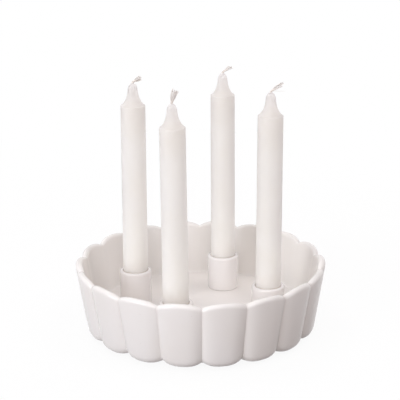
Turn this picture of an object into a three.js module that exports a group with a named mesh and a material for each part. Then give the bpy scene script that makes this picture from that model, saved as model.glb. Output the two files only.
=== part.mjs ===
// An advent candle holder: a scalloped ceramic bowl with candle cups on its floor, candles and wicks.
// Millimetres, +Z up. The origin is the centre of the bowl's foot, on the table.
import * as THREE from "three";

// Bowl, measured at the crown of a lobe unless it says otherwise
const LOBE_COUNT = 18;
const RIM_RADIUS = 111; // outside of the rim
const BASE_RADIUS = 103.6; // outside of the lower corner
const BOWL_HEIGHT = 62; // from the table to the top of the rim
const WALL = 6; // also the thickness of the round rim
const LOBE_FULLNESS = 3.6; // 2 gives a lobe a plain arc, and more fills its middle out like a cushion
const LOBE_ARCHING = 2.5; // the same for the arch of its rim and of its lower edge
const RIM_DIP = 4; // how much lower the rim is at a crease
const CREASE_AT_RIM = 2.6; // how far a crease is pressed in from the outside, at the rim
const CREASE_AT_BASE = 3; // the same at the lower corner
const CREASE_LIFT = 2.9; // how much higher the lower corner is at a crease
const RIDGE_AT_RIM = 1.4; // height of the soft ridge that a crease raises inside, at the rim
const RIDGE_AT_FILLET = 1.2; // the same at the top of the fillet
const RIDGE_AT_FLOOR = 0.4; // the same where the fillet runs out into the floor
const CORNER_RADIUS = 7.5; // outside, between the wall and the underside
const FILLET_RADIUS = 3.6; // inside, between the wall and the floor
const FLOOR_THICKNESS = 6.6;
const RECESS_DEPTH = 6.6; // hollow of the underside, from the table up
const RECESS_DRAFT = 4; // how far the side of that hollow leans in
const FOOT_HEIGHT = 1.2; // how far the foot ring stands below the lobes
const FOOT_WIDTH = 6;
const FOOT_INSET = 7.6; // from the bottom of a crease in to the foot ring

// Candle
const CANDLE_LENGTH = 200; // from the foot to the top of the tip
const CANDLE_DIAMETER = 22.4; // at the foot
const CANDLE_TAPER = 0.6; // how much narrower it is at the shoulder
const CANDLE_FOOT_BEVEL = 0.8;
const TIP_HEIGHT = 20.5; // from the shoulder to the top
const SHOULDER_ROUND = 0.8;
const TIP_WAIST_DIAMETER = 10; // the hollow curve of the tip is drawn towards this width
const TIP_WAIST_HEIGHT = 4; // at this height above the shoulder
const NOSE_DIAMETER = 7;
const NOSE_HEIGHT = 3.2;

// Wick
const WICK_DIAMETER = 2;
const WICK_CLEARANCE = 0.3; // between the wick and the hole through the wax
const WICK_STEM = 1; // straight length above the tip, before it bends
const WICK_LENGTH = 13; // longest free end, measured straight from the stem to its tip
const KNEE_RISE = 1 / 3; // share of the bend's rise at which the knee lies
const KNEE_REACH = 1 / 6; // share of the bend's reach at which the knee lies
const TUFT_DIAMETER = 5; // widest frayed end

// Candle cup
const SOCKET_CLEARANCE = 0.65; // between the candle's foot and the socket
const CUP_WALL = 2.6;
const CUP_HEIGHT = 31.8;
const CUP_FLOOR = 4.5;
const CUP_TAPER = 0.6; // how much narrower the outside is at the foot
const CUP_FOOT_ROUND = 1.6;
const SOCKET_FILLET = 1.2;
const CUP_MARGIN = 18; // from the outside of a cup to the edge of the flat floor

// Where each cup stands, as a heading in degrees from +X, and how its candle's wick bends: its heading,
// its lean in degrees from upright, and its shares of the free length (trim) and of the tuft (fray)
const PLACES = [
  { name: "right", heading: 0, wick: { heading: 14, lean: 54, trim: 1, fray: 0.8 } },
  { name: "rear", heading: 90, wick: { heading: 8, lean: 55, trim: 0.73, fray: 0.64 } },
  { name: "left", heading: 180, wick: { heading: 26, lean: 59, trim: 0.65, fray: 0.8 } },
  { name: "front", heading: 270, wick: { heading: 40, lean: 18, trim: 0.86, fray: 1 } },
];

// Smoothness of the facets
const LOBE_STEPS = 8;
const LOBE_GATHERING = 1.5; // 1 spaces a lobe's facets evenly, and more crowds them by its creases
const CUP_SIDES = 28;
const CANDLE_SIDES = 24;
const WICK_SIDES = 8;
const WICK_STEPS = 9;
const ARC_STEPS = 4;
const RIM_STEPS = 6;
const TIP_STEPS = 6;

// Sizes that follow from those above
const FLOOR_HEIGHT = RECESS_DEPTH + FLOOR_THICKNESS;
const RIM_ROUND = WALL / 2;
const CANDLE_RADIUS = CANDLE_DIAMETER / 2;
const WICK_RADIUS = WICK_DIAMETER / 2;
const SOCKET_RADIUS = CANDLE_RADIUS + SOCKET_CLEARANCE;
const CUP_RADIUS = SOCKET_RADIUS + CUP_WALL;
const LIP_ROUND = CUP_WALL / 2;

// Materials
const GLAZE = { color: 0xf1ece9, roughness: 0.16, metalness: 0 };
const WAX = { color: 0xf4efe8, roughness: 0.45, metalness: 0 };
const COTTON = { color: 0xe9e2dc, roughness: 0.95, metalness: 0 };

function piece(name, geometry, material) {
  const mesh = new THREE.Mesh(geometry, new THREE.MeshStandardMaterial(material));
  mesh.name = name;
  return mesh;
}

// Points along a circular arc of a section, both ends included, for angles from the outward direction
function arc(centre, radius, from, to, steps) {
  const curve = new THREE.EllipseCurve(centre.x, centre.y, radius, radius, from, to, to < from);
  return curve.getPoints(steps);
}

// A section turned about the Z axis. It runs anticlockwise, with the axis on its left side
function turned(points, sides) {
  return new THREE.LatheGeometry(points, sides).rotateX(Math.PI / 2);
}

// The bowl's outer wall touches the lower corner's circle and the rim's circle, and this gives its lean
function bowlSection() {
  const corner = new THREE.Vector2(BASE_RADIUS - CORNER_RADIUS, FOOT_HEIGHT + CORNER_RADIUS);
  const rim = new THREE.Vector2(RIM_RADIUS - RIM_ROUND, BOWL_HEIGHT - RIM_ROUND);
  const span = rim.clone().sub(corner);
  const lean = Math.atan2(span.x, span.y) - Math.asin((CORNER_RADIUS - RIM_ROUND) / span.length());
  const outward = new THREE.Vector2(Math.cos(lean), -Math.sin(lean));
  const filletHeight = FLOOR_HEIGHT + FILLET_RADIUS;
  const filletReach = rim.dot(outward) - RIM_ROUND - FILLET_RADIUS;
  const fillet = new THREE.Vector2((filletReach - outward.y * filletHeight) / outward.x, filletHeight);
  return { corner, rim, lean, fillet };
}

// Each entry of the bowl's section is a point, how far a crease presses it in and lowers it there,
// and whether it follows the sharp crease outside (soft 0) or the rounded ridge inside (soft 1)
function bowlOutline() {
  const { corner, rim, lean, fillet } = bowlSection();
  const footRadius = corner.x - CREASE_AT_BASE - FOOT_INSET;
  const recessRadius = footRadius - FOOT_WIDTH;
  const still = (x, y) => ({ point: new THREE.Vector2(x, y), press: 0, dip: 0, soft: 0 });
  const underside = [
    still(0, RECESS_DEPTH),
    still(recessRadius - RECESS_DRAFT, RECESS_DEPTH),
    still(recessRadius, 0),
    still(footRadius, 0),
    still(footRadius, FOOT_HEIGHT),
  ];
  const down = -Math.PI / 2;
  const lowerCorner = arc(corner, CORNER_RADIUS, down, -lean, ARC_STEPS).map((point) => {
    return { point, press: CREASE_AT_BASE, dip: -CREASE_LIFT, soft: 0 };
  });
  const roundRim = arc(rim, RIM_ROUND, -lean, Math.PI - lean, RIM_STEPS).map((point, index) => {
    const soft = (index / RIM_STEPS) ** 2;
    return { point, press: THREE.MathUtils.lerp(CREASE_AT_RIM, RIDGE_AT_RIM, soft), dip: RIM_DIP, soft };
  });
  const innerFillet = arc(fillet, FILLET_RADIUS, -lean, down, ARC_STEPS).map((point, index) => {
    const press = THREE.MathUtils.lerp(RIDGE_AT_FILLET, RIDGE_AT_FLOOR, index / ARC_STEPS);
    return { point, press, dip: 0, soft: 1 };
  });
  return [...underside, ...lowerCorner, ...roundRim, ...innerFillet, still(0, FLOOR_HEIGHT)];
}

// The bowl is turned from its section, and the wall is then pressed in at the crease between each two lobes
function bowlGeometry() {
  const outline = bowlOutline();
  const points = outline.map((entry) => entry.point);
  const geometry = new THREE.LatheGeometry(points, LOBE_COUNT * LOBE_STEPS);
  const position = geometry.attributes.position;
  for (let index = 0; index < position.count; index += 1) {
    const { point, press, dip, soft } = outline[index % outline.length];
    const column = Math.floor(index / outline.length);
    const lobe = Math.floor(column / LOBE_STEPS);
    const even = (2 * (column % LOBE_STEPS)) / LOBE_STEPS - 1;
    const across = Math.sign(even) * (1 - (1 - Math.abs(even)) ** LOBE_GATHERING);
    const sharpCrease = Math.abs(across) ** LOBE_FULLNESS;
    const softRidge = (1 - Math.cos(Math.PI * across)) / 2;
    const radius = point.x - press * THREE.MathUtils.lerp(sharpCrease, softRidge, soft);
    const height = point.y - dip * Math.abs(across) ** LOBE_ARCHING;
    const angle = (2 * Math.PI * (lobe + (1 + across) / 2)) / LOBE_COUNT;
    position.setXYZ(index, radius * Math.sin(angle), height, radius * Math.cos(angle));
  }
  return geometry.rotateX(Math.PI / 2);
}

function cupGeometry() {
  const footCentre = new THREE.Vector2(CUP_RADIUS - CUP_TAPER / 2 - CUP_FOOT_ROUND, CUP_FOOT_ROUND);
  const lipCentre = new THREE.Vector2(SOCKET_RADIUS + LIP_ROUND, CUP_HEIGHT - LIP_ROUND);
  const filletCentre = new THREE.Vector2(SOCKET_RADIUS - SOCKET_FILLET, CUP_FLOOR + SOCKET_FILLET);
  const down = -Math.PI / 2;
  return turned(
    [
      new THREE.Vector2(0, 0),
      ...arc(footCentre, CUP_FOOT_ROUND, down, 0, ARC_STEPS),
      ...arc(lipCentre, LIP_ROUND, 0, Math.PI, RIM_STEPS),
      ...arc(filletCentre, SOCKET_FILLET, 0, down, ARC_STEPS),
      new THREE.Vector2(0, CUP_FLOOR),
    ],
    CUP_SIDES,
  );
}

// The candle's section closes on itself around the hole for the wick
function candleGeometry() {
  const shoulderHeight = CANDLE_LENGTH - TIP_HEIGHT;
  const shoulderRadius = CANDLE_RADIUS - CANDLE_TAPER / 2;
  const shoulderCentre = new THREE.Vector2(shoulderRadius - SHOULDER_ROUND, shoulderHeight);
  const noseRadius = NOSE_DIAMETER / 2;
  const noseBase = CANDLE_LENGTH - NOSE_HEIGHT;
  const boreRadius = WICK_RADIUS + WICK_CLEARANCE;
  const flank = new THREE.QuadraticBezierCurve(
    new THREE.Vector2(shoulderCentre.x, shoulderHeight + SHOULDER_ROUND),
    new THREE.Vector2(TIP_WAIST_DIAMETER / 2, shoulderHeight + TIP_WAIST_HEIGHT),
    new THREE.Vector2(noseRadius, noseBase),
  );
  const domeEnd = Math.acos(boreRadius / noseRadius);
  const dome = new THREE.EllipseCurve(0, noseBase, noseRadius, NOSE_HEIGHT, 0, domeEnd, false);
  const boreFoot = new THREE.Vector2(boreRadius, 0);
  return turned(
    [
      boreFoot,
      new THREE.Vector2(CANDLE_RADIUS - CANDLE_FOOT_BEVEL, 0),
      new THREE.Vector2(CANDLE_RADIUS, CANDLE_FOOT_BEVEL),
      ...arc(shoulderCentre, SHOULDER_ROUND, 0, Math.PI / 2, ARC_STEPS / 2),
      ...flank.getPoints(TIP_STEPS).slice(1),
      ...dome.getPoints(ARC_STEPS).slice(1),
      boreFoot.clone(),
    ],
    CANDLE_SIDES,
  );
}

// A wick is swept in an upright plane: straight through the candle, then bent over and wider to its end
function wickGeometry({ heading, lean, trim, fray }) {
  const turn = THREE.MathUtils.degToRad(heading);
  const tilt = THREE.MathUtils.degToRad(lean);
  const reach = WICK_LENGTH * trim * Math.sin(tilt);
  const rise = WICK_LENGTH * trim * Math.cos(tilt);
  const tuftRadius = (TUFT_DIAMETER * fray) / 2;
  const sideways = new THREE.Vector3(Math.cos(turn), Math.sin(turn), 0);
  const level = new THREE.Vector3(-Math.sin(turn), Math.cos(turn), 0);
  const up = new THREE.Vector3(0, 0, 1);
  const stemTop = up.clone().multiplyScalar(CANDLE_LENGTH + WICK_STEM);
  const knee = stemTop.clone().addScaledVector(up, rise * KNEE_RISE);
  knee.addScaledVector(sideways, reach * KNEE_REACH);
  const tip = stemTop.clone().addScaledVector(up, rise).addScaledVector(sideways, reach);
  const bend = new THREE.QuadraticBezierCurve3(stemTop, knee, tip);
  const rings = [{ centre: new THREE.Vector3(), along: up, radius: WICK_RADIUS }];
  for (let step = 0; step <= WICK_STEPS; step += 1) {
    const share = step / WICK_STEPS;
    const radius = THREE.MathUtils.lerp(WICK_RADIUS, tuftRadius, share ** 2);
    rings.push({ centre: bend.getPoint(share), along: bend.getTangent(share), radius });
  }
  const vertices = [];
  for (const { centre, along, radius } of rings) {
    const across = new THREE.Vector3().crossVectors(along, level);
    for (let side = 0; side < WICK_SIDES; side += 1) {
      const angle = (2 * Math.PI * side) / WICK_SIDES;
      const spot = centre.clone();
      spot.addScaledVector(across, radius * Math.cos(angle));
      spot.addScaledVector(level, -radius * Math.sin(angle));
      vertices.push(...spot.toArray());
    }
  }
  return closedTube(vertices, rings.length, WICK_SIDES);
}

// Joins rings of points, each anticlockwise as seen from the far end, into a tube with flat ends
function closedTube(vertices, ringCount, sides) {
  const faces = [];
  const lastRing = (ringCount - 1) * sides;
  for (let ring = 0; ring < lastRing; ring += sides) {
    for (let side = 0; side < sides; side += 1) {
      const next = (side + 1) % sides;
      faces.push(ring + side, ring + next, ring + sides + next);
      faces.push(ring + side, ring + sides + next, ring + sides + side);
    }
  }
  for (let side = 1; side < sides - 1; side += 1) {
    faces.push(0, side + 1, side);
    faces.push(lastRing, lastRing + side, lastRing + side + 1);
  }
  const geometry = new THREE.BufferGeometry();
  geometry.setAttribute("position", new THREE.Float32BufferAttribute(vertices, 3));
  geometry.setIndex(faces);
  return geometry;
}

const candleHolder = new THREE.Group();
candleHolder.add(piece("scalloped_bowl", bowlGeometry(), GLAZE));
const cupCircle = bowlSection().fillet.x - CUP_MARGIN - CUP_RADIUS;
for (const { name, heading, wick } of PLACES) {
  const angle = THREE.MathUtils.degToRad(heading);
  const place = new THREE.Group();
  place.position.set(cupCircle * Math.cos(angle), cupCircle * Math.sin(angle), FLOOR_HEIGHT);
  place.add(piece(`candle_cup_${name}`, cupGeometry(), GLAZE));
  const candle = new THREE.Group();
  candle.position.z = CUP_FLOOR;
  candle.add(piece(`candle_${name}`, candleGeometry(), WAX));
  candle.add(piece(`wick_${name}`, wickGeometry(wick), COTTON));
  place.add(candle);
  candleHolder.add(place);
}

export default candleHolder;
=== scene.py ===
"""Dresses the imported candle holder: glazed bowl and cups, wax candles, cotton wicks and a plain stage."""
import math
import random
from collections import namedtuple

import bmesh
import bpy
from bpy.props import FloatProperty, FloatVectorProperty, IntProperty, PointerProperty
from mathutils import Matrix, Vector


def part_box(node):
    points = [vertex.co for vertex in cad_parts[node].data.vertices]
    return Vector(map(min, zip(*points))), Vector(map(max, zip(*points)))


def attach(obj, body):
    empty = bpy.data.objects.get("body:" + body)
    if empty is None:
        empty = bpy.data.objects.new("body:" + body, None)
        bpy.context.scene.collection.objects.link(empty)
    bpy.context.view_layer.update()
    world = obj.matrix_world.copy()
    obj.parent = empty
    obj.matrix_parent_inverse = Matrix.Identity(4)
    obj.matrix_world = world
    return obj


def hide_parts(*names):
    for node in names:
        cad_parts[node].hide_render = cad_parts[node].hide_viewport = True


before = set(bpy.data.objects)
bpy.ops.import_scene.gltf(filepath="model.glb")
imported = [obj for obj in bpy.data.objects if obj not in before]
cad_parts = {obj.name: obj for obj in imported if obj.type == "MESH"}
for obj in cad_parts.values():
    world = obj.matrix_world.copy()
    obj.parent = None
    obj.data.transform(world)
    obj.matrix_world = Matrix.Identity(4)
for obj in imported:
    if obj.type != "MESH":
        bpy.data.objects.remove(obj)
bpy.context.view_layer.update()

bl_info = {
    "name": "Advent Candle Holder",
    "version": (1, 0, 0),
    "blender": (4, 5, 0),
    "location": "View3D > Sidebar > Candle Holder",
    "description": "Models the bowl, candle cups, candles and wicks of an advent candle holder",
    "category": "Add Mesh",
}

# Names and sizes that come from the frame, in metres
PLACES = ("right", "rear", "left", "front")
HOLDER_BODY = "holder"
BOWL_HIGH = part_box("scalloped_bowl")[1]
CUP_LOW, CUP_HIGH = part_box("candle_cup_right")
CANDLE_LOW, CANDLE_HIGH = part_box("candle_right")
CUP_RADIUS = (CUP_HIGH.y - CUP_LOW.y) / 2
CANDLE_RADIUS = (CANDLE_HIGH.y - CANDLE_LOW.y) / 2

# Units, directions and other plain values
MM = 0.001
MERGE_DISTANCE = 0.01 * MM
DOWN = -math.pi / 2
UP = Vector((0, 0, 1))
WHITE = (1, 1, 1)

# A row of the bowl's section: how far a crease presses it in and lowers it there, and whether it follows
# the sharp crease outside (soft 0) or the rounded ridge inside (soft 1)
Row = namedtuple("Row", "radius height press dip soft")

# Where the rows of the bowl's section lie, as shares of each straight stretch or as steps of each arc
HOLLOW_ROWS = (0.06, 0.3, 0.6, 0.85, 0.97, 1)
DRAFT_ROWS = (0.12, 0.85)
CORNER_STEPS = 5
OUTSIDE_ROWS = (0.07, 0.22, 0.5, 0.78, 0.94)
RIM_STEPS = 6
INSIDE_ROWS = (0.06, 0.22, 0.5, 0.78, 0.93)
FILLET_STEPS = 5
FLOOR_ROWS = (0.96, 0.88, 0.7, 0.45, 0.2, 0.05)

# Rows softer than this don't keep their crease sharp when the bowl is subdivided
SHARP_ROWS = 0.2

# The upward share of a face's normal: more than the first if it is level, less than the second if upright
LEVEL_FACE = 0.9
UPRIGHT_FACE = 0.5

# Edges flatter than these angles are shaded smooth
CANDLE_SMOOTH = math.radians(50)
WICK_SMOOTH = math.radians(60)

# A noise pattern of a material: its scale per metre, its detail, the values between which it comes on, how
# much of its colour shows there, and the roughness of the noise
Pattern = namedtuple("Pattern", "scale detail low high share roughness", defaults=(1.0, 0.5))
GLAZE_PATCHES = Pattern(16, 3, 0.38, 0.68)
GLAZE_SPECKS = Pattern(620, 1, 0.74, 0.79, 0.35)
WAX_CLOUDS = Pattern(38, 3, 0.35, 0.7, 0.6)
WAX_STREAKS = Pattern(420, 2, 0.45, 0.75, 0.25)
COTTON_FIBRES = Pattern(2600, 3, 0.3, 0.62, roughness=0.65)

# The gloss of a surface: the scale of its noise, and the least and the most roughness
Gloss = namedtuple("Gloss", "scale low high")
GLAZE_GLOSS = Gloss(45, 0.2, 0.28)
WAX_GLOSS = Gloss(90, 0.48, 0.62)

# Thick glaze and painted crease shade begin at this share of the way from a lobe's crown to its crease, and
# show this much there
POOL_SHADE_START = 0.91
POOL_SHADE_SHARE = 0.5

# The streaks of the wax are drawn out upright by this scale
STREAK_SCALE = (1, 1, 0.06)

# How each candle's wick bends, as in the frame, in degrees and millimetres: its heading, its lean and the
# length of its free end, then how wide its frayed end opens, from which share of that length and how
# steadily (1 opens evenly, less opens at once), and the length of a stray fibre, if it has one
Wick = namedtuple("Wick", "heading lean length fan opens flare stray")
WICKS = {
    "right": Wick(14, 55, 12.6, 3.8, 0.38, 0.4, 11),
    "rear": Wick(8, 55, 10, 3.8, 0.55, 0.8, 0),
    "left": Wick(26, 62, 9.3, 5.2, 0.36, 0.9, 0),
    "front": Wick(40, 18, 12.2, 6.4, 0.1, 0.75, 0),
}

# The knee of a wick's bend, as shares of how far its free end rises and of how far it reaches sideways
KNEE_RISE = 1 / 3
KNEE_REACH = 1 / 6

# The braid starts this far below the bend, and runs this share of the way into the frayed part
BRAID_START = 4 * MM
BRAID_RUN = 0.35

# The width of a yarn and of the core in the candle as shares of the braid's, how far below the candle's top
# the core ends, and how thin a yarn ends
YARN_WIDTH = 0.5
CORE_WIDTH = 0.96
CORE_DEPTH = 3 * MM
YARN_END = 0.3

# A yarn's tuft at the frayed end: its place across the fan, from -1 to 1, and its reach along the wick. Its
# fibres stand within a spread of that place, and the fan's depth is a share of its width
Tuft = namedtuple("Tuft", "across reach")
TUFT_REACH = (0.86, 1.02)
TUFT_SPREAD = 0.25
FAN_DEPTH = 1 / 3

# A loose fibre: where it leaves the braid, as shares of where the wick opens and of the braid's width, its
# reach as a share of its tuft's, its curl in millimetres, the waves of that sideways and in depth, and how
# thin it ends. A stray fibre leaves the wick at a share of where it opens
FIBRE_START = (0.55, 1.0)
FIBRE_ROOT = 0.34
FIBRE_REACH = (0.92, 1.04)
FIBRE_CURL = (0.05, 0.22)
FIBRE_WAVES = (5, 4)
FIBRE_END = 0.6
STRAY_START = 1 / 3

# How far each candle leans in its loose cup, in millimetres at its top, to the right as the camera sees it
LEANS = {"right": 1.1, "rear": 0.2, "left": 1.3, "front": -1.2}

# The studio's lamps, which look at one point on the bowl's axis: how far each stands to the left of the
# camera and how high, in degrees, its size in metres, its power in watts, its colour and whether the glaze
# mirrors it
Lamp = namedtuple("Lamp", "turn rise size power shade mirrored")
LAMP_DISTANCE = 4.0
LAMP_AIM = UP * 0.07
LAMPS = {
    "key_softbox": Lamp(48, 13.5, (2.2, 2.0), 88, (0.91, 0.945, 1), True),
    "front_fill": Lamp(2, 27, (2.4, 2.0), 44, (1, 0.955, 0.95), True),
    "right_fill": Lamp(-90, 60, (2.4, 2.4), 41, (1, 0.95, 0.97), False),
    "rear_top": Lamp(130, 65, (2.4, 2.4), 34, (1, 0.965, 0.98), False),
    "backdrop": Lamp(-160, 15, (3.6, 1.8), 50, (1, 0.97, 0.98), False),
}


def length(description, default):
    """A property that holds a size in metres."""
    return FloatProperty(description=description, default=default, unit="LENGTH", precision=5)


def angle(description, degrees):
    """A property that holds an angle."""
    return FloatProperty(description=description, default=math.radians(degrees), subtype="ANGLE")


def number(description, default):
    """A property that holds a plain number."""
    return FloatProperty(description=description, default=default)


def count(description, default, least):
    """A property that holds a whole number."""
    return IntProperty(description=description, default=default, min=least)


def colour(description, default):
    """A property that holds a linear colour."""
    return FloatVectorProperty(description=description, default=default, min=0, max=1, subtype="COLOR")


class BowlSettings(bpy.types.PropertyGroup):
    """Sizes and glaze of the scalloped bowl, measured at the crown of a lobe unless it says otherwise."""

    lobes: count("Lobes round the wall", 18, least=3)
    columns: count("Columns of faces across half a lobe", 8, least=2)
    rim_radius: length("Outside of the rim", BOWL_HIGH.x)
    base_radius: length("Outside of the lower corner", 103.4 * MM)
    height: length("From the table to the top of the rim", BOWL_HIGH.z)
    floor: length("Height of the floor inside", CUP_LOW.z)
    wall: length("Thickness of the wall and of the round rim", 6 * MM)
    rim_dip: length("How much lower the rim is at a crease", 4 * MM)
    crease_at_rim: length("How far a crease is pressed in at the rim", 3 * MM)
    crease_at_base: length("How far a crease is pressed in at the base", 3.7 * MM)
    crease_lift: length("How much higher the lower corner is at a crease", 3.2 * MM)
    ridge_at_rim: length("Height of the soft ridge inside, at the rim", 1.4 * MM)
    ridge_at_fillet: length("Height of the ridge above the fillet", 1.2 * MM)
    ridge_at_floor: length("Height of the ridge where the floor begins", 0.4 * MM)
    corner_radius: length("Outside, between wall and underside", 7.8 * MM)
    fillet_radius: length("Inside, between wall and floor", 2.4 * MM)
    recess_depth: length("Hollow of the underside", 6.6 * MM)
    recess_draft: length("How far the hollow's side leans in", 4 * MM)
    foot_height: length("How far the foot ring stands below the lobes", 1.2 * MM)
    foot_width: length("Width of the foot ring", 6 * MM)
    foot_inset: length("From the bottom of a crease in to the foot ring", 6.4 * MM)
    foot_round: length("Rounding of the foot ring's edges", 0.5 * MM)
    unevenness: length("How far the cast surface wanders", 0.2 * MM)
    waves: length("Width of the waves in which it wanders", 45 * MM)
    fullness: number("How far a lobe's middle is filled out", 3.2)
    arching: number("The same for the arch of its rim and foot", 2.5)
    gathering: number("How columns crowd by a crease, from 1 for not at all", 1.5)
    crease_edge: number("Sharpness of a crease", 0.85)
    glaze: colour("Colour of the glaze", (0.88, 0.855, 0.828))
    glaze_warm: colour("Colour where the glaze is warmer", (0.87, 0.84, 0.803))
    # Darker glaze colour for the outside creases, partly thick glaze and partly painted crease shade, and
    # for the faint specks
    glaze_pool_shade_and_specks: colour("Colour where the glaze is thick", (0.76, 0.71, 0.68))


class CupSettings(bpy.types.PropertyGroup):
    """Sizes of a candle cup."""

    sides: count("Faces round a cup", 64, least=12)
    wall: length("Thickness at the lip", 3.05 * MM)
    floor: length("Thickness under the candle", CANDLE_LOW.z - CUP_LOW.z)
    taper: length("How much narrower the foot is", 0.6 * MM)
    lip_outside: length("Rounding of the lip's outer edge", 1.9 * MM)
    lip_inside: length("Rounding of the lip's inner edge", 0.5 * MM)
    foot_round: length("Rounding of the foot", 0.9 * MM)
    socket_fillet: length("Rounding at the bottom of the socket", 1.2 * MM)
    unevenness: length("How far the cast surface wanders", 0.12 * MM)
    waves: length("Width of the waves in which it wanders", 22 * MM)


class CandleSettings(bpy.types.PropertyGroup):
    """Sizes and wax of a candle."""

    sides: count("Faces round a candle", 64, least=12)
    taper: length("How much narrower it is at the shoulder", 0.6 * MM)
    foot_bevel: length("Bevel of the foot", 0.8 * MM)
    tip_height: length("From the shoulder to the top", 20.5 * MM)
    shoulder_round: length("Rounding of the shoulder", 0.8 * MM)
    waist_diameter: length("Width that the tip's curve is drawn towards", 10.6 * MM)
    waist_height: length("Height above the shoulder that it is drawn towards", 4.6 * MM)
    nose_diameter: length("Width under the round end", 8.8 * MM)
    nose_height: length("Height of the round end", 6.6 * MM)
    unevenness: length("How far the wax surface wanders", 0.1 * MM)
    waves: length("Width of the waves in which it wanders", 30 * MM)
    depth: length("How far light wanders in the wax", 65 * MM)
    depth_at_cup: length("The same, in the denser wax by the cup", 5 * MM)
    # Over this span above the cup the wax grows denser and its painted light fades out
    dense: length("How far above the cup the wax grows denser", 28 * MM)
    wax: colour("Colour of the wax", (0.782, 0.751, 0.694))
    wax_deep: colour("Colour where the wax is creamier", (0.777, 0.741, 0.666))
    # Painted light: the wax by the cup is painted lighter and creamier, against the shade at the candle's
    # foot
    wax_lit_at_cup: colour("Colour of the denser wax by the cup", (0.84, 0.812, 0.775))
    # Painted shade: the top of each tip is painted darker than the wax below it
    wax_shade_at_tip: colour("Colour of the tip's top", (0.62, 0.575, 0.52))
    tinted: length("How far below the top that colour begins", 61.5 * MM)
    # Painted shade: a darker, browner ring on the wax where it meets the cup's lip, for the shade in the
    # gap
    wax_gap_shade: colour("Colour of the faint ring at the cup's lip", (0.8, 0.715, 0.605))
    rubbed: length("How far above and below its middle that ring fades", 1.6 * MM)


class WickSettings(bpy.types.PropertyGroup):
    """Sizes and cotton of a wick."""

    yarns: count("Yarns of the braid", 3, least=2)
    fibres: count("Loose fibres at the frayed end", 64, least=4)
    diameter: length("Width of the braid", 2 * MM)
    stem: length("Straight length above the tip, before it bends", 0.4 * MM)
    plait: length("Length of one turn of the braid", 5.5 * MM)
    fibre_diameter: length("Width of a loose fibre", 0.28 * MM)
    cotton: colour("Colour of the cotton", (0.87, 0.835, 0.80))
    # Painted shade: the colour between the fibres is darker
    cotton_shade_between_fibres: colour("Colour between the fibres", (0.83, 0.785, 0.745))
    cotton_waxed: colour("Colour where wax has soaked into the neck", (0.77, 0.71, 0.65))
    soaked: length("How far the wax soaks up above the tip", 4 * MM)


class StageSettings(bpy.types.PropertyGroup):
    """Floor, lights and camera."""

    floor_size: length("Side of the floor", 14.0)
    sensor: number("Width of the camera's sensor, in millimetres", 36)
    lens: number("Focal length, in millimetres", 115.9)
    pitch: angle("How far the camera looks down", 17.42)
    turn: angle("How far the camera stands to the right", 19.6)
    roll: angle("How far the camera is turned about its view", 0.5)
    distance: length("From the bowl's axis to the camera, level", 1.077)
    camera_height: length("From the table to the camera", 0.4547)
    # Painted shade: the floor by the bowl throws back much less light than the floor further off
    floor_shade_near: colour("Colour that the floor by the bowl throws back", (0.24, 0.195, 0.19))
    floor_far: colour("Colour that the floor further off throws back", (0.85, 0.83, 0.81))
    near: length("Radius of the near floor", 0.2)
    far: length("Radius beyond which the floor is far", 0.7)
    near_glow: number("Share of plain white that the near floor shows", 0.92)
    room_light: colour("Colour of the light from all round", (1, 0.96, 1))
    room_strength: number("Strength of the light from all round", 0.325)


def deselect_all():
    """Leaves edit mode and deselects every object."""
    if bpy.context.object and bpy.context.object.mode != "OBJECT":
        bpy.ops.object.mode_set(mode="OBJECT")
    bpy.ops.object.select_all(action="DESELECT")


def activate(piece):
    """Makes a piece the only selected object, out of edit mode."""
    deselect_all()
    piece.select_set(True)
    bpy.context.view_layer.objects.active = piece


def edit(piece, elements="VERT"):
    """Opens a piece in edit mode, with this kind of element to select, and returns its editable mesh."""
    if piece.mode != "EDIT":
        activate(piece)
        bpy.ops.object.mode_set(mode="EDIT")
    bpy.ops.mesh.select_mode(type=elements)
    return bmesh.from_edit_mesh(piece.data)


def select(piece, elements, wanted):
    """Selects only the vertices, edges or faces for which wanted(element) is true."""
    shape = edit(piece, elements)
    bpy.ops.mesh.select_all(action="DESELECT")
    for element in {"VERT": shape.verts, "EDGE": shape.edges, "FACE": shape.faces}[elements]:
        if wanted(element):
            element.select_set(True)
    shape.select_flush_mode()
    bmesh.update_edit_mesh(piece.data)


def close_mesh(piece):
    """Merges doubled vertices and points the faces outwards."""
    edit(piece)
    bpy.ops.mesh.select_all(action="SELECT")
    bpy.ops.mesh.remove_doubles(threshold=MERGE_DISTANCE)
    bpy.ops.mesh.normals_make_consistent()
    bpy.ops.object.mode_set(mode="OBJECT")


def apply_modifier(piece, kind, **options):
    """Adds a modifier with these options and applies it."""
    activate(piece)
    bpy.ops.object.modifier_add(type=kind)
    modifier = piece.modifiers[-1]
    for option, value in options.items():
        setattr(modifier, option, value)
    bpy.ops.object.modifier_apply(modifier=modifier.name)


def wander(piece, settings):
    """Lets a surface wander a little, as cast and moulded surfaces do."""
    texture = bpy.data.textures.new(piece.name + "_wander", type="CLOUDS")
    texture.noise_scale = settings.waves
    options = {"texture": texture, "texture_coords": "LOCAL", "strength": settings.unevenness}
    apply_modifier(piece, "DISPLACE", **options)
    bpy.data.textures.remove(texture)


def copy_to(piece, name, centre):
    """A copy of a piece that stands on the Z axis, moved so that its axis passes through the centre."""
    activate(piece)
    bpy.ops.object.duplicate()
    copy = bpy.context.object
    copy.name = copy.data.name = name
    bpy.ops.transform.translate(value=(centre.x, centre.y, 0))
    bpy.ops.object.transform_apply()
    return copy


def join(pieces, name):
    """Joins pieces into one."""
    activate(pieces[0])
    for piece in pieces:
        piece.select_set(True)
    bpy.ops.object.join()
    joined = bpy.context.object
    joined.name = joined.data.name = name
    return joined


def delete_piece(piece):
    """Deletes a piece that only served as a pattern."""
    activate(piece)
    bpy.ops.object.delete()


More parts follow.
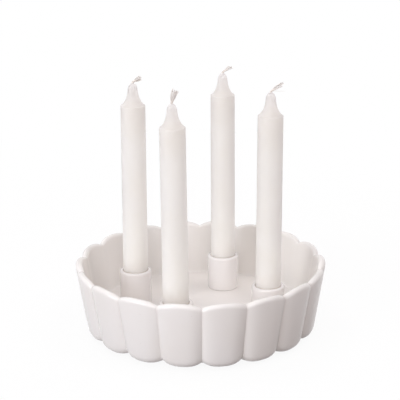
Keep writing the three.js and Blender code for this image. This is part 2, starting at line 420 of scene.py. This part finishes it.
def finish_piece(piece, node, body, material):
    """Gives a finished piece its material and puts it in the place of its CAD node."""
    piece.data.materials.clear()
    piece.data.materials.append(material)
    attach(piece, body)
    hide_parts(node)


def middle_of(node):
    """The middle of a CAD node's box."""
    low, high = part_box(node)
    return (low + high) / 2


def arc(centre, radius, start, end, steps):
    """Points of an arc of a section, both ends included, for angles from the outward direction."""
    points = []
    for step in range(steps + 1):
        turn = start + (end - start) * step / steps
        points.append(centre + radius * Vector((math.cos(turn), math.sin(turn))))
    return points


def mix(low, high, share):
    """The value a share of the way from low to high."""
    return low + (high - low) * share


def set_sockets(tree, node, sockets):
    """Sets or links input sockets of a shader node."""
    for key, value in sockets.items():
        if isinstance(value, bpy.types.NodeSocket):
            tree.links.new(value, node.inputs[key])
        else:
            node.inputs[key].default_value = value


def shader(tree, kind, sockets=None, **options):
    """Adds a shader node with these sockets and options."""
    made = tree.nodes.new("ShaderNode" + kind)
    for option, value in options.items():
        setattr(made, option, value)
    set_sockets(tree, made, sockets or {})
    return made


def new_material(name):
    """A new node material, with its tree, its principled shader and its object coordinates."""
    material = bpy.data.materials.new(name)
    material.use_nodes = True
    tree = material.node_tree
    surface = tree.nodes["Principled BSDF"]
    place = tree.nodes.new("ShaderNodeTexCoord").outputs["Object"]
    return material, tree, surface, place


def calculate(tree, operation, first, second=0.0):
    """A sum, product or other operation on two values."""
    return shader(tree, "Math", {0: first, 1: second}, operation=operation).outputs[0]


def noise(tree, place, scale, detail=2.0, roughness=0.5):
    """Noise, from 0 to 1."""
    sockets = {"Vector": place, "Scale": scale, "Detail": detail, "Roughness": roughness}
    return shader(tree, "TexNoise", sockets).outputs["Fac"]


def smooth_step(tree, value, low, high):
    """A smooth step that is 0 below low and 1 above high."""
    sockets = {"Value": value, "From Min": low, "From Max": high}
    return shader(tree, "MapRange", sockets, interpolation_type="SMOOTHSTEP").outputs["Result"]


def shown(tree, place, pattern):
    """How much of a noise pattern shows at each place."""
    grey = noise(tree, place, pattern.scale, pattern.detail, pattern.roughness)
    return calculate(tree, "MULTIPLY", smooth_step(tree, grey, pattern.low, pattern.high), pattern.share)


def spread(tree, value, low, high):
    """A value from 0 to 1, spread between low and high."""
    return shader(tree, "MapRange", {"Value": value, "To Min": low, "To Max": high}).outputs["Result"]


def uneven(tree, place, gloss):
    """A roughness that is higher in some places than in others."""
    return spread(tree, noise(tree, place, gloss.scale), gloss.low, gloss.high)


def tint(tree, share, below, above):
    """A mix of two colours by a share."""
    made = shader(tree, "Mix", {"Factor": share}, data_type="RGBA")
    for key, value in (("A_Color", below), ("B_Color", above)):
        socket = next(found for found in made.inputs if found.identifier == key)
        if isinstance(value, bpy.types.NodeSocket):
            tree.links.new(value, socket)
        else:
            socket.default_value = (*value, 1)
    return next(found for found in made.outputs if found.identifier == "Result_Color")


def grain(tree, height, strength, distance):
    """The normals of a fine bump."""
    sockets = {"Height": height, "Strength": strength, "Distance": distance}
    return shader(tree, "Bump", sockets).outputs["Normal"]


def glaze_material(settings):
    """Glossy off-white glaze: warmer in patches, darker in the outside creases, partly thick glaze and
    partly painted crease shade, with faint specks.
    """
    material, tree, surface, place = new_material("glaze")
    axes = shader(tree, "SeparateXYZ", {"Vector": place}).outputs
    turn = calculate(tree, "ARCTAN2", axes["Y"], axes["X"])
    lobe = calculate(tree, "MULTIPLY", turn, settings.lobes / (2 * math.pi))
    half_lobe = 0.5
    across = calculate(tree, "PINGPONG", lobe, half_lobe)
    level = shader(tree, "CombineXYZ", {"X": axes["X"], "Y": axes["Y"]}).outputs["Vector"]
    radius = shader(tree, "VectorMath", {0: level}, operation="LENGTH").outputs["Value"]
    flare = (settings.rim_radius - settings.base_radius) / settings.height
    upright = calculate(tree, "SUBTRACT", radius, calculate(tree, "MULTIPLY", axes["Z"], flare))
    in_crease = smooth_step(tree, across, half_lobe * POOL_SHADE_START, half_lobe)
    outside = smooth_step(
        tree, upright, settings.base_radius - settings.wall, settings.base_radius - settings.wall / 2
    )
    # Painted shade: the outside creases are darkened, partly as thick glaze and partly as painted crease
    # shade
    pooled_and_shaded = calculate(tree, "MULTIPLY", calculate(tree, "MULTIPLY", in_crease, outside), POOL_SHADE_SHARE)
    body = tint(tree, shown(tree, place, GLAZE_PATCHES), settings.glaze, settings.glaze_warm)
    body = tint(tree, pooled_and_shaded, body, settings.glaze_pool_shade_and_specks)
    sockets = {
        "Base Color": tint(tree, shown(tree, place, GLAZE_SPECKS), body, settings.glaze_pool_shade_and_specks),
        "Roughness": uneven(tree, place, GLAZE_GLOSS),
        "IOR": 1.5,
        "Normal": grain(tree, noise(tree, place, scale=260), strength=0.05, distance=0.4 * MM),
    }
    set_sockets(tree, surface, sockets)
    return material


def wax_material(settings):
    """Satin wax with depth, creamier in clouds and streaks, denser and painted lighter by the cup, with
    painted shade darkening its top and a painted shade ring at the cup's lip.
    """
    material, tree, surface, place = new_material("wax")
    streaked = shader(tree, "Mapping", {"Vector": place, "Scale": STREAK_SCALE}).outputs["Vector"]
    cream = calculate(tree, "ADD", shown(tree, place, WAX_CLOUDS), shown(tree, streaked, WAX_STREAKS))
    height = shader(tree, "SeparateXYZ", {"Vector": place}).outputs["Z"]
    above_cup = smooth_step(tree, height, CUP_HIGH.z, CUP_HIGH.z + settings.dense)
    # Painted shade darkens the wax towards the top of the tip
    to_tip = smooth_step(tree, height, CANDLE_HIGH.z - settings.tinted, CANDLE_HIGH.z)
    body = tint(tree, cream, settings.wax, settings.wax_deep)
    body = tint(tree, to_tip, body, settings.wax_shade_at_tip)
    # Painted light: lighter, creamier wax towards the cup
    body = tint(tree, above_cup, settings.wax_lit_at_cup, body)
    # Painted shade: a ring of darker wax about the cup's lip
    above_ring = calculate(tree, "SUBTRACT", height, CUP_HIGH.z - settings.rubbed / 2)
    from_ring = calculate(tree, "ABSOLUTE", above_ring)
    clear_of_gap_shade = smooth_step(tree, from_ring, 0, settings.rubbed)
    sockets = {
        "Base Color": tint(tree, clear_of_gap_shade, settings.wax_gap_shade, body),
        "Subsurface Weight": 1.0,
        "Subsurface Radius": (1.0, 1.0, 1.0),
        "Subsurface Scale": spread(tree, above_cup, settings.depth_at_cup, settings.depth),
        "Roughness": uneven(tree, place, WAX_GLOSS),
        "IOR": 1.44,
        "Specular IOR Level": 0.1,
        "Normal": grain(tree, noise(tree, place, scale=520, detail=3), strength=0.08, distance=0.3 * MM),
    }
    set_sockets(tree, surface, sockets)
    return material


def cotton_material(settings):
    """Matt cotton yarn with fine fibres, painted shade between them and a soft sheen, darker where it has
    soaked up wax.
    """
    material, tree, surface, place = new_material("cotton")
    height = shader(tree, "SeparateXYZ", {"Vector": place}).outputs["Z"]
    dry = smooth_step(tree, height, CANDLE_HIGH.z + settings.stem, CANDLE_HIGH.z + settings.soaked)
    # Painted shade in the low places between the fibres
    body = tint(tree, shown(tree, place, COTTON_FIBRES), settings.cotton_shade_between_fibres, settings.cotton)
    fibres = noise(tree, place, COTTON_FIBRES.scale, COTTON_FIBRES.detail, COTTON_FIBRES.roughness)
    sockets = {
        "Base Color": tint(tree, dry, settings.cotton_waxed, body),
        "Roughness": 0.92,
        "Sheen Weight": 0.3,
        "Sheen Roughness": 0.5,
        "Normal": grain(tree, fibres, strength=0.25, distance=0.2 * MM),
    }
    set_sockets(tree, surface, sockets)
    return material


def bowl_rows(settings):
    """The rows of the bowl's section, from the underside round the rim to the floor."""
    rim_round = settings.wall / 2
    corner = Vector(
        (settings.base_radius - settings.corner_radius, settings.foot_height + settings.corner_radius)
    )
    rim = Vector((settings.rim_radius - rim_round, settings.height - rim_round))
    span = rim - corner
    lean = math.atan2(span.x, span.y) - math.asin((settings.corner_radius - rim_round) / span.length)
    outward = Vector((math.cos(lean), -math.sin(lean)))
    fillet_height = settings.floor + settings.fillet_radius
    fillet_reach = rim.dot(outward) - rim_round - settings.fillet_radius
    fillet = Vector(((fillet_reach - outward.y * fillet_height) / outward.x, fillet_height))
    foot = corner.x - settings.crease_at_base - settings.foot_inset
    recess = foot - settings.foot_width
    hollow = recess - settings.recess_draft
    edge = settings.foot_round
    rows = []

    def add(point, press=0.0, dip=0.0, soft=0.0):
        rows.append(Row(point[0], point[1], press, dip, soft))

    # Underside: hollow, its leaning side and the foot ring
    for share in HOLLOW_ROWS:
        add((hollow * share, settings.recess_depth))
    for share in DRAFT_ROWS:
        add((mix(hollow, recess, share), mix(settings.recess_depth, 0, share)))
    for point in ((recess, edge / 2), (recess + edge, 0), (foot - edge, 0), (foot, edge / 2)):
        add(point)
    add((foot, settings.foot_height))
    # Outside: lower corner, wall and round rim
    for point in arc(corner, settings.corner_radius, DOWN, -lean, CORNER_STEPS):
        add(point, settings.crease_at_base, -settings.crease_lift)
    low = corner + settings.corner_radius * outward
    high = rim + rim_round * outward
    for share in OUTSIDE_ROWS:
        press = mix(settings.crease_at_base, settings.crease_at_rim, share)
        add(low.lerp(high, share), press, mix(-settings.crease_lift, settings.rim_dip, share))
    for step, point in enumerate(arc(rim, rim_round, -lean, math.pi - lean, RIM_STEPS)):
        soft = (step / RIM_STEPS) ** 2
        add(point, mix(settings.crease_at_rim, settings.ridge_at_rim, soft), settings.rim_dip, soft)
    # Inside: wall, fillet and floor
    high = rim - rim_round * outward
    low = fillet + settings.fillet_radius * outward
    for share in INSIDE_ROWS:
        press = mix(settings.ridge_at_rim, settings.ridge_at_fillet, share)
        add(high.lerp(low, share), press, mix(settings.rim_dip, 0, share), 1)
    for step, point in enumerate(arc(fillet, settings.fillet_radius, -lean, DOWN, FILLET_STEPS)):
        add(point, mix(settings.ridge_at_fillet, settings.ridge_at_floor, step / FILLET_STEPS), 0, 1)
    for share in FLOOR_ROWS:
        add((fillet.x * share, settings.floor))
    return rows


def draw_line(name, points):
    """A line of vertices, drawn point by point."""
    deselect_all()
    bpy.ops.mesh.primitive_plane_add(size=MM)
    line = bpy.context.object
    line.name = line.data.name = name
    edit(line)
    bpy.ops.mesh.select_all(action="SELECT")
    bpy.ops.mesh.merge(type="CENTER")
    bpy.ops.transform.translate(value=points[0])
    for here, there in zip(points, points[1:]):
        bpy.ops.mesh.extrude_vertices_move(TRANSFORM_OT_translate={"value": there - here})
    return line


def lobe_points(settings, rows, across):
    """The bowl's section at a place across half a lobe, from 0 at the crown to 1 at the crease."""
    turn = across * math.pi / settings.lobes
    sharp_crease = across ** settings.fullness
    soft_ridge = (1 - math.cos(math.pi * across)) / 2
    arch = across ** settings.arching
    points = []
    for row in rows:
        radius = row.radius - row.press * mix(sharp_crease, soft_ridge, row.soft)
        height = row.height - row.dip * arch
        points.append(Vector((radius * math.cos(turn), radius * math.sin(turn), height)))
    return points


def loft_half_lobe(settings, rows):
    """Half a lobe: its section is drawn at each column, closer together by the crease, and bridged."""
    name = "glazed_scalloped_bowl"
    lines = []
    for column in range(settings.columns + 1):
        across = 1 - (1 - column / settings.columns) ** settings.gathering
        points = lobe_points(settings, rows, across)
        lines.append(draw_line(name, points))
    sharpen_crease(lines[-1], settings, rows, points)
    lobe = join(lines, name)
    edit(lobe, "EDGE")
    bpy.ops.mesh.select_all(action="SELECT")
    bpy.ops.mesh.bridge_edge_loops(type="SINGLE")
    return lobe


def sharpen_crease(line, settings, rows, points):
    """Keeps the crease outside sharp when the surface is subdivided."""
    sharp = [point for point, row in zip(points, rows) if row.press and row.soft < SHARP_ROWS]

    def is_sharp(vertex):
        return any((vertex.co - point).length < MERGE_DISTANCE for point in sharp)

    select(line, "EDGE", lambda edge: all(is_sharp(vertex) for vertex in edge.verts))
    bpy.ops.transform.edge_crease(value=settings.crease_edge)


def array_round(lobe, settings):
    """Mirrors the half lobe and repeats it round the axis."""
    apply_modifier(lobe, "MIRROR", use_axis=(False, True, False), merge_threshold=MERGE_DISTANCE)
    deselect_all()
    bpy.ops.object.empty_add(rotation=(0, 0, 2 * math.pi / settings.lobes))
    step = bpy.context.object
    offset = {"use_relative_offset": False, "use_object_offset": True, "offset_object": step}
    apply_modifier(lobe, "ARRAY", count=settings.lobes, **offset)
    delete_piece(step)
    close_mesh(lobe)


def close_middle(bowl):
    """Closes the small holes in the middle of the floor and of the underside."""
    edit(bowl, "EDGE")
    bpy.ops.mesh.select_all(action="DESELECT")
    bpy.ops.mesh.select_non_manifold()
    bpy.ops.mesh.extrude_region_move()
    bpy.ops.mesh.merge(type="COLLAPSE")
    close_mesh(bowl)


class MakeBowl(bpy.types.Operator):
    """Models half a lobe of the scalloped bowl, repeats it round the axis and glazes it"""

    bl_idname = "candle_holder.make_bowl"
    bl_label = "Make Bowl"

    def execute(self, context):
        settings = context.scene.bowl_settings
        bowl = loft_half_lobe(settings, bowl_rows(settings))
        array_round(bowl, settings)
        apply_modifier(bowl, "SUBSURF", levels=1)
        close_middle(bowl)
        wander(bowl, settings)
        bpy.ops.object.shade_smooth()
        finish_piece(bowl, "scalloped_bowl", HOLDER_BODY, glaze_material(settings))
        return {"FINISHED"}


def at_height(element, height):
    """Whether all the vertices of an edge or face lie at a height."""
    return all(abs(vertex.co.z - height) < MERGE_DISTANCE for vertex in element.verts)


def is_corner(edge):
    """Whether an edge lies between a level face and an upright one."""
    steepness = [abs(face.normal.z) for face in edge.link_faces]
    return max(steepness) > LEVEL_FACE and min(steepness) < UPRIGHT_FACE


def round_edge(cup, settings, height, rounding, outside, segments):
    """Rounds a cup's edge at a height, outside or inside its wall."""
    middle = CUP_RADIUS - settings.wall / 2

    def wanted(edge):
        is_outside = edge.verts[0].co.xy.length > middle
        return at_height(edge, height) and is_outside == outside and is_corner(edge)

    select(cup, "EDGE", wanted)
    bpy.ops.mesh.bevel(offset=rounding, segments=segments, affect="EDGES")


def make_cup(settings):
    """A candle cup on the Z axis: a cylinder with a sunk socket, a narrower foot and rounded edges."""
    deselect_all()
    low, high = CUP_LOW.z, CUP_HIGH.z
    bpy.ops.mesh.primitive_cylinder_add(vertices=settings.sides, radius=CUP_RADIUS, depth=high - low)
    cup = bpy.context.object
    edit(cup)
    bpy.ops.mesh.select_all(action="SELECT")
    bpy.ops.transform.translate(value=(0, 0, (low + high) / 2))
    foot_size = 1 - settings.taper / 2 / CUP_RADIUS
    select(cup, "VERT", lambda vertex: vertex.co.z < (low + high) / 2)
    bpy.ops.transform.resize(value=(foot_size, foot_size, 1), center_override=(0, 0, 0))
    select(cup, "FACE", lambda face: at_height(face, high))
    bpy.ops.mesh.inset(thickness=settings.wall)
    bpy.ops.mesh.extrude_region_move(TRANSFORM_OT_translate={"value": (0, 0, low + settings.floor - high)})
    round_edge(cup, settings, high, settings.lip_outside, outside=True, segments=6)
    round_edge(cup, settings, high, settings.lip_inside, outside=False, segments=4)
    round_edge(cup, settings, low, settings.foot_round, outside=True, segments=5)
    round_edge(cup, settings, low + settings.floor, settings.socket_fillet, outside=False, segments=4)
    close_mesh(cup)
    return cup


class MakeCups(bpy.types.Operator):
    """Models one candle cup, copies it to its places on the bowl's floor and glazes the copies"""

    bl_idname = "candle_holder.make_cups"
    bl_label = "Make Candle Cups"

    def execute(self, context):
        settings = context.scene.cup_settings
        pattern = make_cup(settings)
        for place in PLACES:
            node = f"candle_cup_{place}"
            cup = copy_to(pattern, f"glazed_cup_{place}", middle_of(node))
            apply_modifier(cup, "SUBSURF", subdivision_type="SIMPLE", levels=1)
            wander(cup, settings)
            bpy.ops.object.shade_smooth()
            finish_piece(cup, node, HOLDER_BODY, bpy.data.materials["glaze"])
        delete_piece(pattern)
        return {"FINISHED"}


def candle_section(settings):
    """The candle's section, from its axis at the foot to its axis at the top."""
    low, high = CANDLE_LOW.z, CANDLE_HIGH.z
    shoulder_height = high - settings.tip_height
    shoulder = CANDLE_RADIUS - settings.taper / 2
    nose = settings.nose_diameter / 2
    nose_base = high - settings.nose_height
    flat_foot = CANDLE_RADIUS - 4 * settings.foot_bevel
    points = [Vector((0, low)), Vector((flat_foot, low))]
    round_rows = 4
    centre = Vector((CANDLE_RADIUS - settings.foot_bevel, low + settings.foot_bevel))
    points += arc(centre, settings.foot_bevel, DOWN, 0, round_rows)
    body_rows = 22
    foot_edge, body_top = points[-1], Vector((shoulder, shoulder_height))
    points += [foot_edge.lerp(body_top, row / body_rows) for row in range(1, body_rows)]
    centre = Vector((shoulder - settings.shoulder_round, shoulder_height))
    points += arc(centre, settings.shoulder_round, 0, math.pi / 2, round_rows)
    start, end = points[-1], Vector((nose, nose_base))
    waist = Vector((settings.waist_diameter / 2, shoulder_height + settings.waist_height))
    flank_rows = 14
    for row in range(1, flank_rows + 1):
        share = row / flank_rows
        points.append(start.lerp(waist, share).lerp(waist.lerp(end, share), share))
    dome_rows = 7
    for row in range(1, dome_rows + 1):
        turn = math.pi / 2 * row / dome_rows
        points.append(Vector((nose * math.cos(turn), nose_base + settings.nose_height * math.sin(turn))))
    return points


def make_candle(settings):
    """A candle on the Z axis: its section is drawn point by point and turned."""
    candle = draw_line("candle", [Vector((point.x, 0, point.y)) for point in candle_section(settings)])
    bpy.ops.mesh.select_all(action="SELECT")
    bpy.ops.mesh.spin(steps=settings.sides, angle=2 * math.pi, center=(0, 0, 0), axis=(0, 0, 1))
    close_mesh(candle)
    return candle


def lean_in_cup(piece, place, camera_turn):
    """Leans a candle or its wick about the middle of its socket."""
    pivot = middle_of(f"candle_cup_{place}")
    pivot.z = (CANDLE_LOW.z + CUP_HIGH.z) / 2
    lean = LEANS[place] * MM / (CANDLE_HIGH.z - pivot.z)
    axis = Vector((-math.sin(camera_turn), math.cos(camera_turn), 0))
    leaning = Matrix.Rotation(lean, 4, axis)
    activate(piece)
    piece.matrix_world = Matrix.Translation(pivot) @ leaning @ Matrix.Translation(-pivot)
    bpy.ops.object.transform_apply()


class MakeCandles(bpy.types.Operator):
    """Turns one candle, copies it into the cups and gives the copies their wax"""

    bl_idname = "candle_holder.make_candles"
    bl_label = "Make Candles"

    def execute(self, context):
        settings = context.scene.candle_settings
        material = wax_material(settings)
        pattern = make_candle(settings)
        for place in PLACES:
            candle = copy_to(pattern, f"wax_candle_{place}", middle_of(f"candle_cup_{place}"))
            wander(candle, settings)
            lean_in_cup(candle, place, context.scene.stage_settings.turn)
            bpy.ops.object.shade_smooth_by_angle(angle=CANDLE_SMOOTH)
            finish_piece(candle, f"candle_{place}", f"{place}_candle", material)
        delete_piece(pattern)
        return {"FINISHED"}


class WickPath:
    """The line of a wick's free end, which bends over in an upright plane."""

    def __init__(self, centre, wick, stem):
        """Starts a stem's length above the candle's tip."""
        heading, lean = math.radians(wick.heading), math.radians(wick.lean)
        sideways = Vector((math.cos(heading), math.sin(heading), 0)) * wick.length * MM * math.sin(lean)
        upwards = UP * wick.length * MM * math.cos(lean)
        self.level = Vector((-math.sin(heading), math.cos(heading), 0))
        self.start = Vector((centre.x, centre.y, CANDLE_HIGH.z + stem))
        self.knee = self.start + upwards * KNEE_RISE + sideways * KNEE_REACH
        self.tip = self.start + upwards + sideways

    def point(self, share):
        """A point of the line, also below its start, where it runs straight down."""
        if share < 0:
            return self.start + UP * share * (self.tip - self.start).length
        return self.start.lerp(self.knee, share).lerp(self.knee.lerp(self.tip, share), share)

    def beside(self, share):
        """The direction across the line in its own plane."""
        step = 0.01
        along = (self.point(share + step) - self.point(share - step)).normalized()
        return along.cross(self.level)


def braid_line(path, settings, yarn, opens):
    """The points of one yarn of the braid, from inside the wax to where it thins out in the frayed part."""
    last = mix(opens, 1, BRAID_RUN)
    swing = settings.diameter * (1 - YARN_WIDTH) / 2
    free = (path.tip - path.start).length
    first = -BRAID_START / free
    points = []
    steps = 44
    for step in range(steps + 1):
        share = mix(first, last, step / steps)
        phase = 2 * math.pi * (share * free / settings.plait + yarn / settings.yarns)
        offset = path.beside(share) * swing * math.sin(phase) + path.level * swing * math.sin(2 * phase)
        opened = max(0, (share - opens) / (last - opens))
        points.append((path.point(share) + offset, mix(1.0, YARN_END, opened)))
    return points


def fibre_line(path, wick, settings, chance, tuft):
    """The points of one loose fibre, which leaves the braid and spreads into its yarn's tuft."""
    start = wick.opens * chance.uniform(*FIBRE_START)
    end = tuft.reach * chance.uniform(*FIBRE_REACH)
    across = tuft.across + chance.uniform(-TUFT_SPREAD, TUFT_SPREAD)
    depth = chance.uniform(-1, 1)
    curl = chance.uniform(*FIBRE_CURL) * MM
    phase = chance.uniform(0, 2 * math.pi)
    root = settings.diameter * FIBRE_ROOT
    half_fan = wick.fan * MM / 2
    side_wave, deep_wave = FIBRE_WAVES
    points = []
    steps = 9
    for step in range(steps + 1):
        share = mix(start, end, step / steps)
        opened = (step / steps) ** wick.flare
        side = across * mix(root, half_fan, opened)
        deep = depth * mix(root, half_fan * FAN_DEPTH, opened)
        side += curl * opened * math.sin(phase + side_wave * share)
        deep += curl * opened * math.cos(phase + deep_wave * share)
        offset = path.beside(share) * side + path.level * deep
        points.append((path.point(share) + offset, mix(1.0, FIBRE_END, opened)))
    return points


def stray_line(path, wick):
    """The points of one fibre that stands off level below where the wick opens."""
    start = path.point(wick.opens * STRAY_START)
    level = path.tip - path.start
    level.z = 0
    level.normalize()
    points = []
    steps = 4
    for step in range(steps + 1):
        share = step / steps
        points.append((start + level * wick.stray * MM * share, mix(1.0, FIBRE_END, share)))
    return points


def add_strand(curve, points):
    """Adds a strand to a curve, through points that have a radius each."""
    spline = curve.splines.new("POLY")
    spline.points.add(len(points) - 1)
    for target, (place, radius) in zip(spline.points, points):
        target.co = (*place, 1)
        target.radius = radius


def make_strands(name, lines, diameter, resolution):
    """A mesh of strands, each a closed tube along its line."""
    deselect_all()
    bpy.ops.curve.primitive_nurbs_path_add()
    strands = bpy.context.object
    strands.name = strands.data.name = name
    curve = strands.data
    curve.splines.clear()
    for line in lines:
        add_strand(curve, line)
    curve.bevel_depth = diameter / 2
    curve.bevel_resolution = resolution
    curve.use_fill_caps = True
    bpy.ops.object.convert(target="MESH")
    return bpy.context.object


class MakeWicks(bpy.types.Operator):
    """Braids the wicks, frays their ends and sets them in the candles"""

    bl_idname = "candle_holder.make_wicks"
    bl_label = "Make Wicks"

    def execute(self, context):
        settings = context.scene.wick_settings
        material = cotton_material(settings)
        for seed, place in enumerate(PLACES, start=1):
            wick = WICKS[place]
            chance = random.Random(seed)
            centre = middle_of(f"candle_cup_{place}")
            path = WickPath(centre, wick, settings.stem)
            yarns = [braid_line(path, settings, yarn, wick.opens) for yarn in range(settings.yarns)]
            tufts = [
                Tuft(mix(-1, 1, (yarn + 0.5) / settings.yarns), chance.uniform(*TUFT_REACH))
                for yarn in range(settings.yarns)
            ]
            fibres = [
                fibre_line(path, wick, settings, chance, tufts[fibre % settings.yarns])
                for fibre in range(settings.fibres)
            ]
            if wick.stray:
                fibres.append(stray_line(path, wick))
            core_heights = (CANDLE_LOW.z, CANDLE_HIGH.z - CORE_DEPTH)
            core = [(Vector((centre.x, centre.y, height)), 1.0) for height in core_heights]
            parts = [
                make_strands("braid", yarns, settings.diameter * YARN_WIDTH, resolution=2),
                make_strands("fray", fibres, settings.fibre_diameter, resolution=1),
                make_strands("core", [core], settings.diameter * CORE_WIDTH, resolution=3),
            ]
            braided = join(parts, f"cotton_wick_{place}")
            lean_in_cup(braided, place, context.scene.stage_settings.turn)
            bpy.ops.object.shade_smooth_by_angle(angle=WICK_SMOOTH)
            finish_piece(braided, f"wick_{place}", f"{place}_candle", material)
        return {"FINISHED"}


def seen_directly(tree):
    """1 for what the camera, a reflection or a see-through surface shows, and 0 for light thrown back."""
    rays = shader(tree, "LightPath").outputs
    seen = calculate(tree, "MAXIMUM", rays["Is Camera Ray"], rays["Is Glossy Ray"])
    return calculate(tree, "MAXIMUM", seen, rays["Is Transmission Ray"])


def floor_material(settings):
    """A pale matt floor that the camera and reflections see as white, with a faint shadow by the bowl and
    painted shade by the bowl in the light that it throws back.
    """
    material, tree, surface, place = new_material("studio_floor")
    seen = seen_directly(tree)
    radius = shader(tree, "VectorMath", {0: place}, operation="LENGTH").outputs["Value"]
    far = smooth_step(tree, radius, settings.near, settings.far)
    # Painted shade: the light that the floor throws back is darker by the bowl
    thrown = tint(tree, far, settings.floor_shade_near, settings.floor_far)
    matt = {"Base Color": tint(tree, seen, thrown, WHITE), "Roughness": 0.9, "Specular IOR Level": 0}
    set_sockets(tree, surface, matt)
    white = shader(tree, "Emission").outputs["Emission"]
    share = calculate(tree, "MULTIPLY", seen, spread(tree, far, settings.near_glow, 1.0))
    mixed = shader(tree, "MixShader", {0: share, 1: surface.outputs["BSDF"], 2: white})
    tree.links.new(mixed.outputs["Shader"], tree.nodes["Material Output"].inputs["Surface"])
    return material


def add_softbox(name, lamp, right, towards):
    """An area lamp that stands round the bowl's axis and looks at it."""
    turn, rise = math.radians(lamp.turn), math.radians(lamp.rise)
    level = math.cos(turn) * towards - math.sin(turn) * right
    place = LAMP_AIM + LAMP_DISTANCE * (math.cos(rise) * level + math.sin(rise) * UP)
    deselect_all()
    bpy.ops.object.light_add(type="AREA", location=place)
    softbox = bpy.context.object
    softbox.name = softbox.data.name = name
    softbox.data.shape = "RECTANGLE"
    softbox.data.size, softbox.data.size_y = lamp.size
    softbox.data.energy = lamp.power
    softbox.data.color = lamp.shade
    softbox.rotation_euler = (LAMP_AIM - place).to_track_quat("-Z", "Y").to_euler()
    softbox.visible_glossy = lamp.mirrored


class MakeStage(bpy.types.Operator):
    """Lays the floor and sets up the lights and the camera"""

    bl_idname = "candle_holder.make_stage"
    bl_label = "Make Stage"

    def execute(self, context):
        settings = context.scene.stage_settings
        deselect_all()
        bpy.ops.mesh.primitive_plane_add(size=settings.floor_size)
        floor = context.object
        floor.name = "studio_floor"
        floor.data.materials.append(floor_material(settings))
        right = Vector((math.cos(settings.turn), math.sin(settings.turn), 0))
        towards = Vector((math.sin(settings.turn), -math.cos(settings.turn), 0))
        for name, lamp in LAMPS.items():
            add_softbox(name, lamp, right, towards)
        self.light_world(context.scene, settings)
        self.place_camera(context.scene, settings, right, towards)
        context.scene.view_settings.view_transform = "Standard"
        return {"FINISHED"}

    def light_world(self, scene, settings):
        """Even, faintly pink light from all round, which the camera sees as white."""
        world = bpy.data.worlds.new("studio_light")
        scene.world = world
        world.use_nodes = True
        tree = world.node_tree
        room = tree.nodes["Background"]
        set_sockets(tree, room, {"Color": (*settings.room_light, 1), "Strength": settings.room_strength})
        white = shader(tree, "Background", {"Color": (*WHITE, 1), "Strength": 1.0})
        mixed = shader(tree, "MixShader", {0: seen_directly(tree), 1: room.outputs[0], 2: white.outputs[0]})
        tree.links.new(mixed.outputs["Shader"], tree.nodes["World Output"].inputs["Surface"])

    def place_camera(self, scene, settings, right, towards):
        """Puts the camera where the photograph was taken from."""
        forward = -towards * math.cos(settings.pitch) - UP * math.sin(settings.pitch)
        across = right.copy()
        across.rotate(Matrix.Rotation(settings.roll, 3, forward))
        above = across.cross(forward)
        bpy.ops.object.camera_add()
        camera = bpy.context.object
        camera.name = "photo_camera"
        camera.data.sensor_width = settings.sensor
        camera.data.lens = settings.lens
        turned = Matrix((across, above, -forward)).transposed().to_4x4()
        place = towards * settings.distance + UP * settings.camera_height
        camera.matrix_world = Matrix.Translation(place) @ turned
        scene.camera = camera


class CandleHolderPanel(bpy.types.Panel):
    """Lists the operators and the settings of the candle holder"""

    bl_idname = "VIEW3D_PT_candle_holder"
    bl_label = "Candle Holder"
    bl_space_type = "VIEW_3D"
    bl_region_type = "UI"
    bl_category = "Candle Holder"

    def draw(self, context):
        for operator in OPERATORS:
            self.layout.operator(operator.bl_idname)
        for group in SETTINGS:
            box = self.layout.box()
            settings = getattr(context.scene, group)
            for name in settings.__annotations__:
                box.prop(settings, name, text=name.replace("_", " ").title())


SETTINGS = {
    "bowl_settings": BowlSettings,
    "cup_settings": CupSettings,
    "candle_settings": CandleSettings,
    "wick_settings": WickSettings,
    "stage_settings": StageSettings,
}
OPERATORS = (MakeBowl, MakeCups, MakeCandles, MakeWicks, MakeStage)


def register():
    """Registers the classes and hangs the settings on the scene."""
    for made in (*SETTINGS.values(), *OPERATORS, CandleHolderPanel):
        bpy.utils.register_class(made)
    for name, group in SETTINGS.items():
        setattr(bpy.types.Scene, name, PointerProperty(type=group))


def unregister():
    """Takes the settings and the classes away again."""
    for name in SETTINGS:
        delattr(bpy.types.Scene, name)
    for made in reversed((*SETTINGS.values(), *OPERATORS, CandleHolderPanel)):
        bpy.utils.unregister_class(made)


def main():
    """Makes every piece and the stage."""
    register()
    bpy.ops.candle_holder.make_bowl()
    bpy.ops.candle_holder.make_cups()
    bpy.ops.candle_holder.make_candles()
    bpy.ops.candle_holder.make_wicks()
    bpy.ops.candle_holder.make_stage()


if __name__ == "__main__":
    main()
